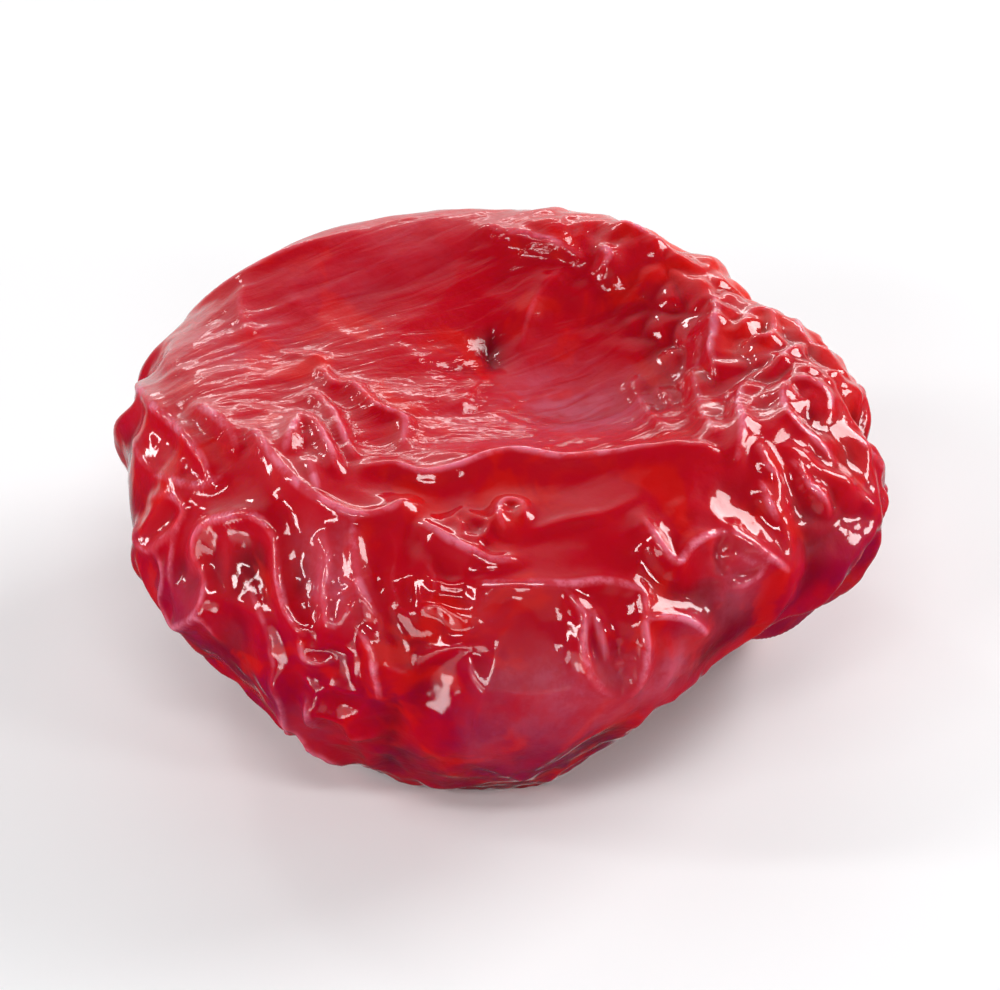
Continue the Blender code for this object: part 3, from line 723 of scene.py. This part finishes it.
class Nodes:
    """A material's node tree, built one plain call at a time."""

    def __init__(self, name):
        self.material = bpy.data.materials.new(name)
        self.material.use_nodes = True
        self.tree = self.material.node_tree
        self.shader = self.tree.nodes["Principled BSDF"]
        self.coords = self.tree.nodes.new("ShaderNodeTexCoord").outputs["Object"]

    def link(self, source, target):
        """Joins an output to an input."""
        self.tree.links.new(source, target)

    def attribute(self, name):
        """A value that the mesh keeps at each of its points."""
        node = self.tree.nodes.new("ShaderNodeAttribute")
        node.attribute_name = name
        return node.outputs["Fac"]

    def noise(self, size, detail, roughness, distortion=0.0):
        """Uneven values from 0 to 1, with features of a size."""
        node = self.tree.nodes.new("ShaderNodeTexNoise")
        node.inputs["Scale"].default_value = 1 / size
        node.inputs["Detail"].default_value = detail
        node.inputs["Roughness"].default_value = roughness
        node.inputs["Distortion"].default_value = distortion
        self.link(self.coords, node.inputs["Vector"])
        return node.outputs["Fac"]

    def lines(self, spacing, length, bearing):
        """Noise drawn out level along a bearing."""
        lay = self.tree.nodes.new("ShaderNodeMapping")
        lay.vector_type = "TEXTURE"
        lay.inputs["Rotation"].default_value = (0.0, 0.0, math.radians(bearing))
        lay.inputs["Scale"].default_value = (length, spacing, spacing)
        self.link(self.coords, lay.inputs["Vector"])
        node = self.tree.nodes.new("ShaderNodeTexNoise")
        node.inputs["Scale"].default_value = 1.0
        node.inputs["Detail"].default_value = 3.0
        node.inputs["Distortion"].default_value = 0.9
        self.link(lay.outputs["Vector"], node.inputs["Vector"])
        return node.outputs["Fac"]

    def spread(self, value, low, high, to_low=0.0, to_high=1.0):
        """The value taken smoothly from one range to another."""
        node = self.tree.nodes.new("ShaderNodeMapRange")
        node.interpolation_type = "SMOOTHSTEP"
        self.link(value, node.inputs["Value"])
        node.inputs["From Min"].default_value = low
        node.inputs["From Max"].default_value = high
        node.inputs["To Min"].default_value = to_low
        node.inputs["To Max"].default_value = to_high
        return node.outputs["Result"]

    def blend(self, share, first, second):
        """The first colour where the share is 0, the second where it is 1."""
        node = self.tree.nodes.new("ShaderNodeMix")
        node.data_type = "RGBA"
        self.fill(share, node.inputs[0])
        self.fill(first, node.inputs[6])
        self.fill(second, node.inputs[7])
        return node.outputs[2]

    def fill(self, value, socket):
        """Gives a socket a link or a plain value."""
        if isinstance(value, bpy.types.NodeSocket):
            self.link(value, socket)
        else:
            socket.default_value = value

    def math(self, how, first, second):
        """A sum on two values, each a link or a plain number."""
        node = self.tree.nodes.new("ShaderNodeMath")
        node.operation = how
        self.fill(first, node.inputs[0])
        self.fill(second, node.inputs[1])
        return node.outputs[0]

    def raise_by(self, height, distance, below=None):
        """A normal that shows a height as relief, on top of the relief of another normal."""
        node = self.tree.nodes.new("ShaderNodeBump")
        node.inputs["Strength"].default_value = 1.0
        node.inputs["Distance"].default_value = distance
        self.link(height, node.inputs["Height"])
        if below:
            self.link(below, node.inputs["Normal"])
        return node.outputs["Normal"]


# Colours of the skin, its painted crease shade and painted glow, of the film with its painted sheen, of the
# painted crest highlights, and of the cut flesh
RED = (0.44, 0.001, 0.010, 1.0)
CRIMSON = (0.22, 0.001, 0.036, 1.0)
CREASE_SHADE = (0.07, 0.0003, 0.005, 1.0)
FRESH = (0.56, 0.006, 0.002, 1.0)
BACKLIT_GLOW_COLOUR = (0.80, 0.030, 0.006, 1.0)
MILKY_FILM_AND_SHEEN = (0.50, 0.087, 0.140, 1.0)
PAINTED_HIGHLIGHT = (0.80, 0.31, 0.46, 1.0)
DEEP_PULP = (0.38, 0.022, 0.009, 1.0)
LIGHT_PULP = (0.64, 0.085, 0.022, 1.0)


def skin_colour(n, specks, drawn, membrane, film_and_sheen, crest):
    """Red skin: crimson on the side, with painted shade in the creases, a painted glow where it is thin, milky
    where the film lies on it with a painted sheen, and painted highlights along the crests."""
    blotches = n.spread(n.noise(6 * MM, 4.0, 0.6), 0.35, 0.65)
    darkened = n.math("MULTIPLY", n.attribute("side"), n.spread(blotches, 0.0, 1.0, 0.15, 0.9))
    skin = n.blend(darkened, RED, CRIMSON)
    # painted shade: the skin darkens where the relief is low, in the creases
    skin = n.blend(n.spread(n.attribute("ridge"), 0.10, -0.5, 0.0, 0.75), skin, CREASE_SHADE)
    # painted glow of light through the thin skin
    skin = n.blend(n.math("MULTIPLY", n.attribute("backlit_glow"), 0.75), skin, BACKLIT_GLOW_COLOUR)
    glowing = n.spread(n.noise(4.5 * MM, 3.0, 0.6, 0.8), 0.52, 0.66, 0.0, 0.65)
    skin = n.blend(glowing, skin, FRESH)
    speckled = n.spread(specks, 0.0, 1.0, 0.45, 0.95)
    lined = n.spread(drawn, 0.36, 0.64, 0.32, 0.75)
    patchy = n.spread(n.noise(3.0 * MM, 3.0, 0.55), 0.35, 0.6, 0.5, 1.1)
    grained = n.math("MULTIPLY", n.blend(membrane, speckled, lined), patchy)
    # pale film, partly a painted sheen of soft reflections
    skin = n.blend(n.math("MULTIPLY", film_and_sheen, grained), skin, MILKY_FILM_AND_SHEEN)
    # painted highlights along the crests
    highlight_line = n.math("MULTIPLY", n.spread(crest, 0.3, 1.0), n.spread(specks, 0.2, 0.8, 0.15, 0.6))
    return n.blend(highlight_line, skin, PAINTED_HIGHLIGHT)


def plum_finish():
    """Translucent red skin under a wet gloss, duller where it is filmed, and orange-red flesh."""
    n = Nodes("plum skin and flesh")
    flesh = n.attribute("flesh")
    membrane = n.attribute("membrane")
    film_and_sheen = n.attribute("film_and_sheen")
    # the painted highlight lines; the wet bump is calmer on them
    crest = n.attribute("crest")
    specks = n.spread(n.noise(1.6 * MM, 4.0, 0.6), 0.3, 0.7)
    drawn = n.lines(0.8 * MM, 5.0 * MM, STREAK_BEARING)
    skin = skin_colour(n, specks, drawn, membrane, film_and_sheen, crest)
    pulp = n.blend(n.spread(n.noise(1.3 * MM, 5.0, 0.6, 0.2), 0.3, 0.7), DEEP_PULP, LIGHT_PULP)
    shader = n.shader
    n.link(n.blend(flesh, skin, pulp), shader.inputs["Base Color"])
    shader.inputs["Subsurface Weight"].default_value = 1.0
    shader.inputs["Subsurface Radius"].default_value = (1.0, 0.12, 0.08)
    shader.inputs["Subsurface Scale"].default_value = 0.9 * MM
    shader.inputs["IOR"].default_value = 1.4
    shader.inputs["Specular IOR Level"].default_value = 0.05
    rough = n.spread(specks, 0.0, 1.0, 0.34, 0.52)
    n.link(n.math("ADD", rough, n.math("MULTIPLY", flesh, 0.2)), shader.inputs["Roughness"])
    dull = n.math("ADD", n.math("MULTIPLY", membrane, 0.3), n.math("MULTIPLY", film_and_sheen, 0.2))
    coat = n.math("SUBTRACT", n.math("SUBTRACT", 1.0, dull), n.math("MULTIPLY", flesh, 0.75))
    n.link(coat, shader.inputs["Coat Weight"])
    shader.inputs["Coat Roughness"].default_value = 0.06
    shader.inputs["Coat IOR"].default_value = 1.45
    strokes = n.raise_by(n.math("MULTIPLY", drawn, membrane), 0.09 * MM)
    grain = n.raise_by(n.noise(0.55 * MM, 4.0, 0.5), 0.05 * MM, strokes)
    n.link(grain, shader.inputs["Normal"])
    wetness = n.math("MULTIPLY", n.noise(1.2 * MM, 1.0, 0.5), n.math("SUBTRACT", 1.0, crest))
    n.link(n.raise_by(wetness, 0.07 * MM, strokes), shader.inputs["Coat Normal"])
    return n.material


def pale_floor():
    """The plain pale surface that the plum lies on."""
    n = Nodes("pale floor")
    n.shader.inputs["Base Color"].default_value = (0.86, 0.86, 0.87, 1.0)
    n.shader.inputs["Roughness"].default_value = 0.6
    bpy.ops.mesh.primitive_plane_add(size=4.0)
    floor = bpy.context.object
    floor.name = "floor"
    floor.data.materials.append(n.material)
    floor.visible_glossy = False


# Soft square lamps: name, place, width and height, and watts. Each faces the middle of the plum.
LAMP_AIM = Vector((0.0, 0.0, 0.01))
LAMPS = (
    ("back strip", (0.02, 0.36, 0.10), (0.30, 0.03), 0.16),
    ("back left lamp", (-0.20, 0.30, 0.26), (0.05, 0.05), 0.14),
    ("right window", (0.32, 0.20, 0.20), (0.22, 0.20), 1.60),
    ("front window", (-0.03, -0.33, 0.16), (0.07, 0.05), 0.13),
    ("right low card", (0.36, 0.05, 0.05), (0.07, 0.07), 0.20),
    ("front high strip", (0.00, -0.20, 0.33), (0.16, 0.04), 0.30),
    ("left strip", (-0.28, -0.02, 0.18), (0.03, 0.16), 0.26),
    ("front left strip", (-0.20, -0.20, 0.20), (0.14, 0.03), 0.30),
    ("front right lamp", (0.26, -0.18, 0.16), (0.06, 0.05), 0.20),
    ("left low strip", (-0.30, 0.10, 0.07), (0.10, 0.02), 0.12),
    ("low front lamp", (-0.12, -0.30, 0.05), (0.14, 0.05), 0.12),
)

# Soft glows of the daylight: bearing, height, where the glow starts to fade and where it ends, in degrees,
# and its strength
SKY_EVERYWHERE = 0.04
SKY_GLOWS = (
    (112.0, 30.0, 6.0, 50.0, 0.60),
    (90.0, -12.0, 10.0, 45.0, 0.80),
    (185.0, 12.0, 5.0, 35.0, 0.15),
    (10.0, 12.0, 5.0, 35.0, 0.25),
    (-80.0, 16.0, 2.0, 25.0, 0.40),
    (-125.0, -8.0, 1.0, 18.0, 1.60),
    (-60.0, -12.0, 1.0, 16.0, 0.80),
    (-128.0, -18.0, 4.5, 9.0, 9.0),
)


def daylight():
    """A faint even sky with the soft glows in it."""
    world = bpy.data.worlds.new("soft daylight")
    world.use_nodes = True
    tree = world.node_tree
    direction = tree.nodes.new("ShaderNodeTexCoord").outputs["Generated"]
    sky = SKY_EVERYWHERE
    for bearing, height, core, edge, strength in SKY_GLOWS:
        flat = math.cos(math.radians(height))
        toward = tree.nodes.new("ShaderNodeVectorMath")
        toward.operation = "DOT_PRODUCT"
        tree.links.new(direction, toward.inputs[0])
        toward.inputs[1].default_value = (
            flat * math.cos(math.radians(bearing)),
            flat * math.sin(math.radians(bearing)),
            math.sin(math.radians(height)),
        )
        glow = tree.nodes.new("ShaderNodeMapRange")
        glow.interpolation_type = "SMOOTHSTEP"
        tree.links.new(toward.outputs["Value"], glow.inputs["Value"])
        glow.inputs["From Min"].default_value = math.cos(math.radians(edge))
        glow.inputs["From Max"].default_value = math.cos(math.radians(core))
        glow.inputs["To Max"].default_value = strength
        total = tree.nodes.new("ShaderNodeMath")
        total.operation = "ADD"
        tree.links.new(glow.outputs["Result"], total.inputs[0])
        if isinstance(sky, float):
            total.inputs[1].default_value = sky
        else:
            tree.links.new(sky, total.inputs[1])
        sky = total.outputs[0]
    tree.links.new(sky, tree.nodes["Background"].inputs["Strength"])
    tree.nodes["Background"].inputs["Color"].default_value = (1.0, 1.0, 1.0, 1.0)
    bpy.context.scene.world = world
    bpy.context.scene.view_settings.view_transform = "Standard"


def lamps():
    """The lamps round the plum, hidden from the camera."""
    for name, place, size, watts in LAMPS:
        data = bpy.data.lights.new(name, "AREA")
        data.shape = "RECTANGLE"
        data.size, data.size_y = size
        data.energy = watts
        lamp = bpy.data.objects.new(name, data)
        lamp.location = place
        lamp.visible_camera = False
        lamp.rotation_euler = (Vector(place) - LAMP_AIM).to_track_quat("Z", "Y").to_euler()
        bpy.context.scene.collection.objects.link(lamp)


def photograph_camera():
    """A long lens at the photograph's angle, with the plum large in the frame."""
    tilt = math.radians(VIEW_TILT)
    right = (VIEW_MIDDLE[0] - VIEW_FOOT[0]) * PIXEL
    up = (VIEW_FOOT[1] - VIEW_MIDDLE[1]) * PIXEL
    aim = Vector((right, up * math.sin(tilt), up * math.cos(tilt)))
    back = Vector((0.0, -math.cos(tilt), math.sin(tilt)))
    frame_width = PHOTO_WIDTH / ENLARGEMENT * PIXEL
    data = bpy.data.cameras.new("camera")
    data.lens = LENS
    data.sensor_width = SENSOR
    camera = bpy.data.objects.new("camera", data)
    camera.location = aim + back * (frame_width * LENS / SENSOR)
    camera.rotation_euler = back.to_track_quat("Z", "Y").to_euler()
    bpy.context.scene.collection.objects.link(camera)
    bpy.context.scene.camera = camera


photograph_camera()
daylight()
lamps()
pale_floor()
plum = make_plum()
plum.data.materials.append(plum_finish())
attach(plum, "root")
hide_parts("plum")
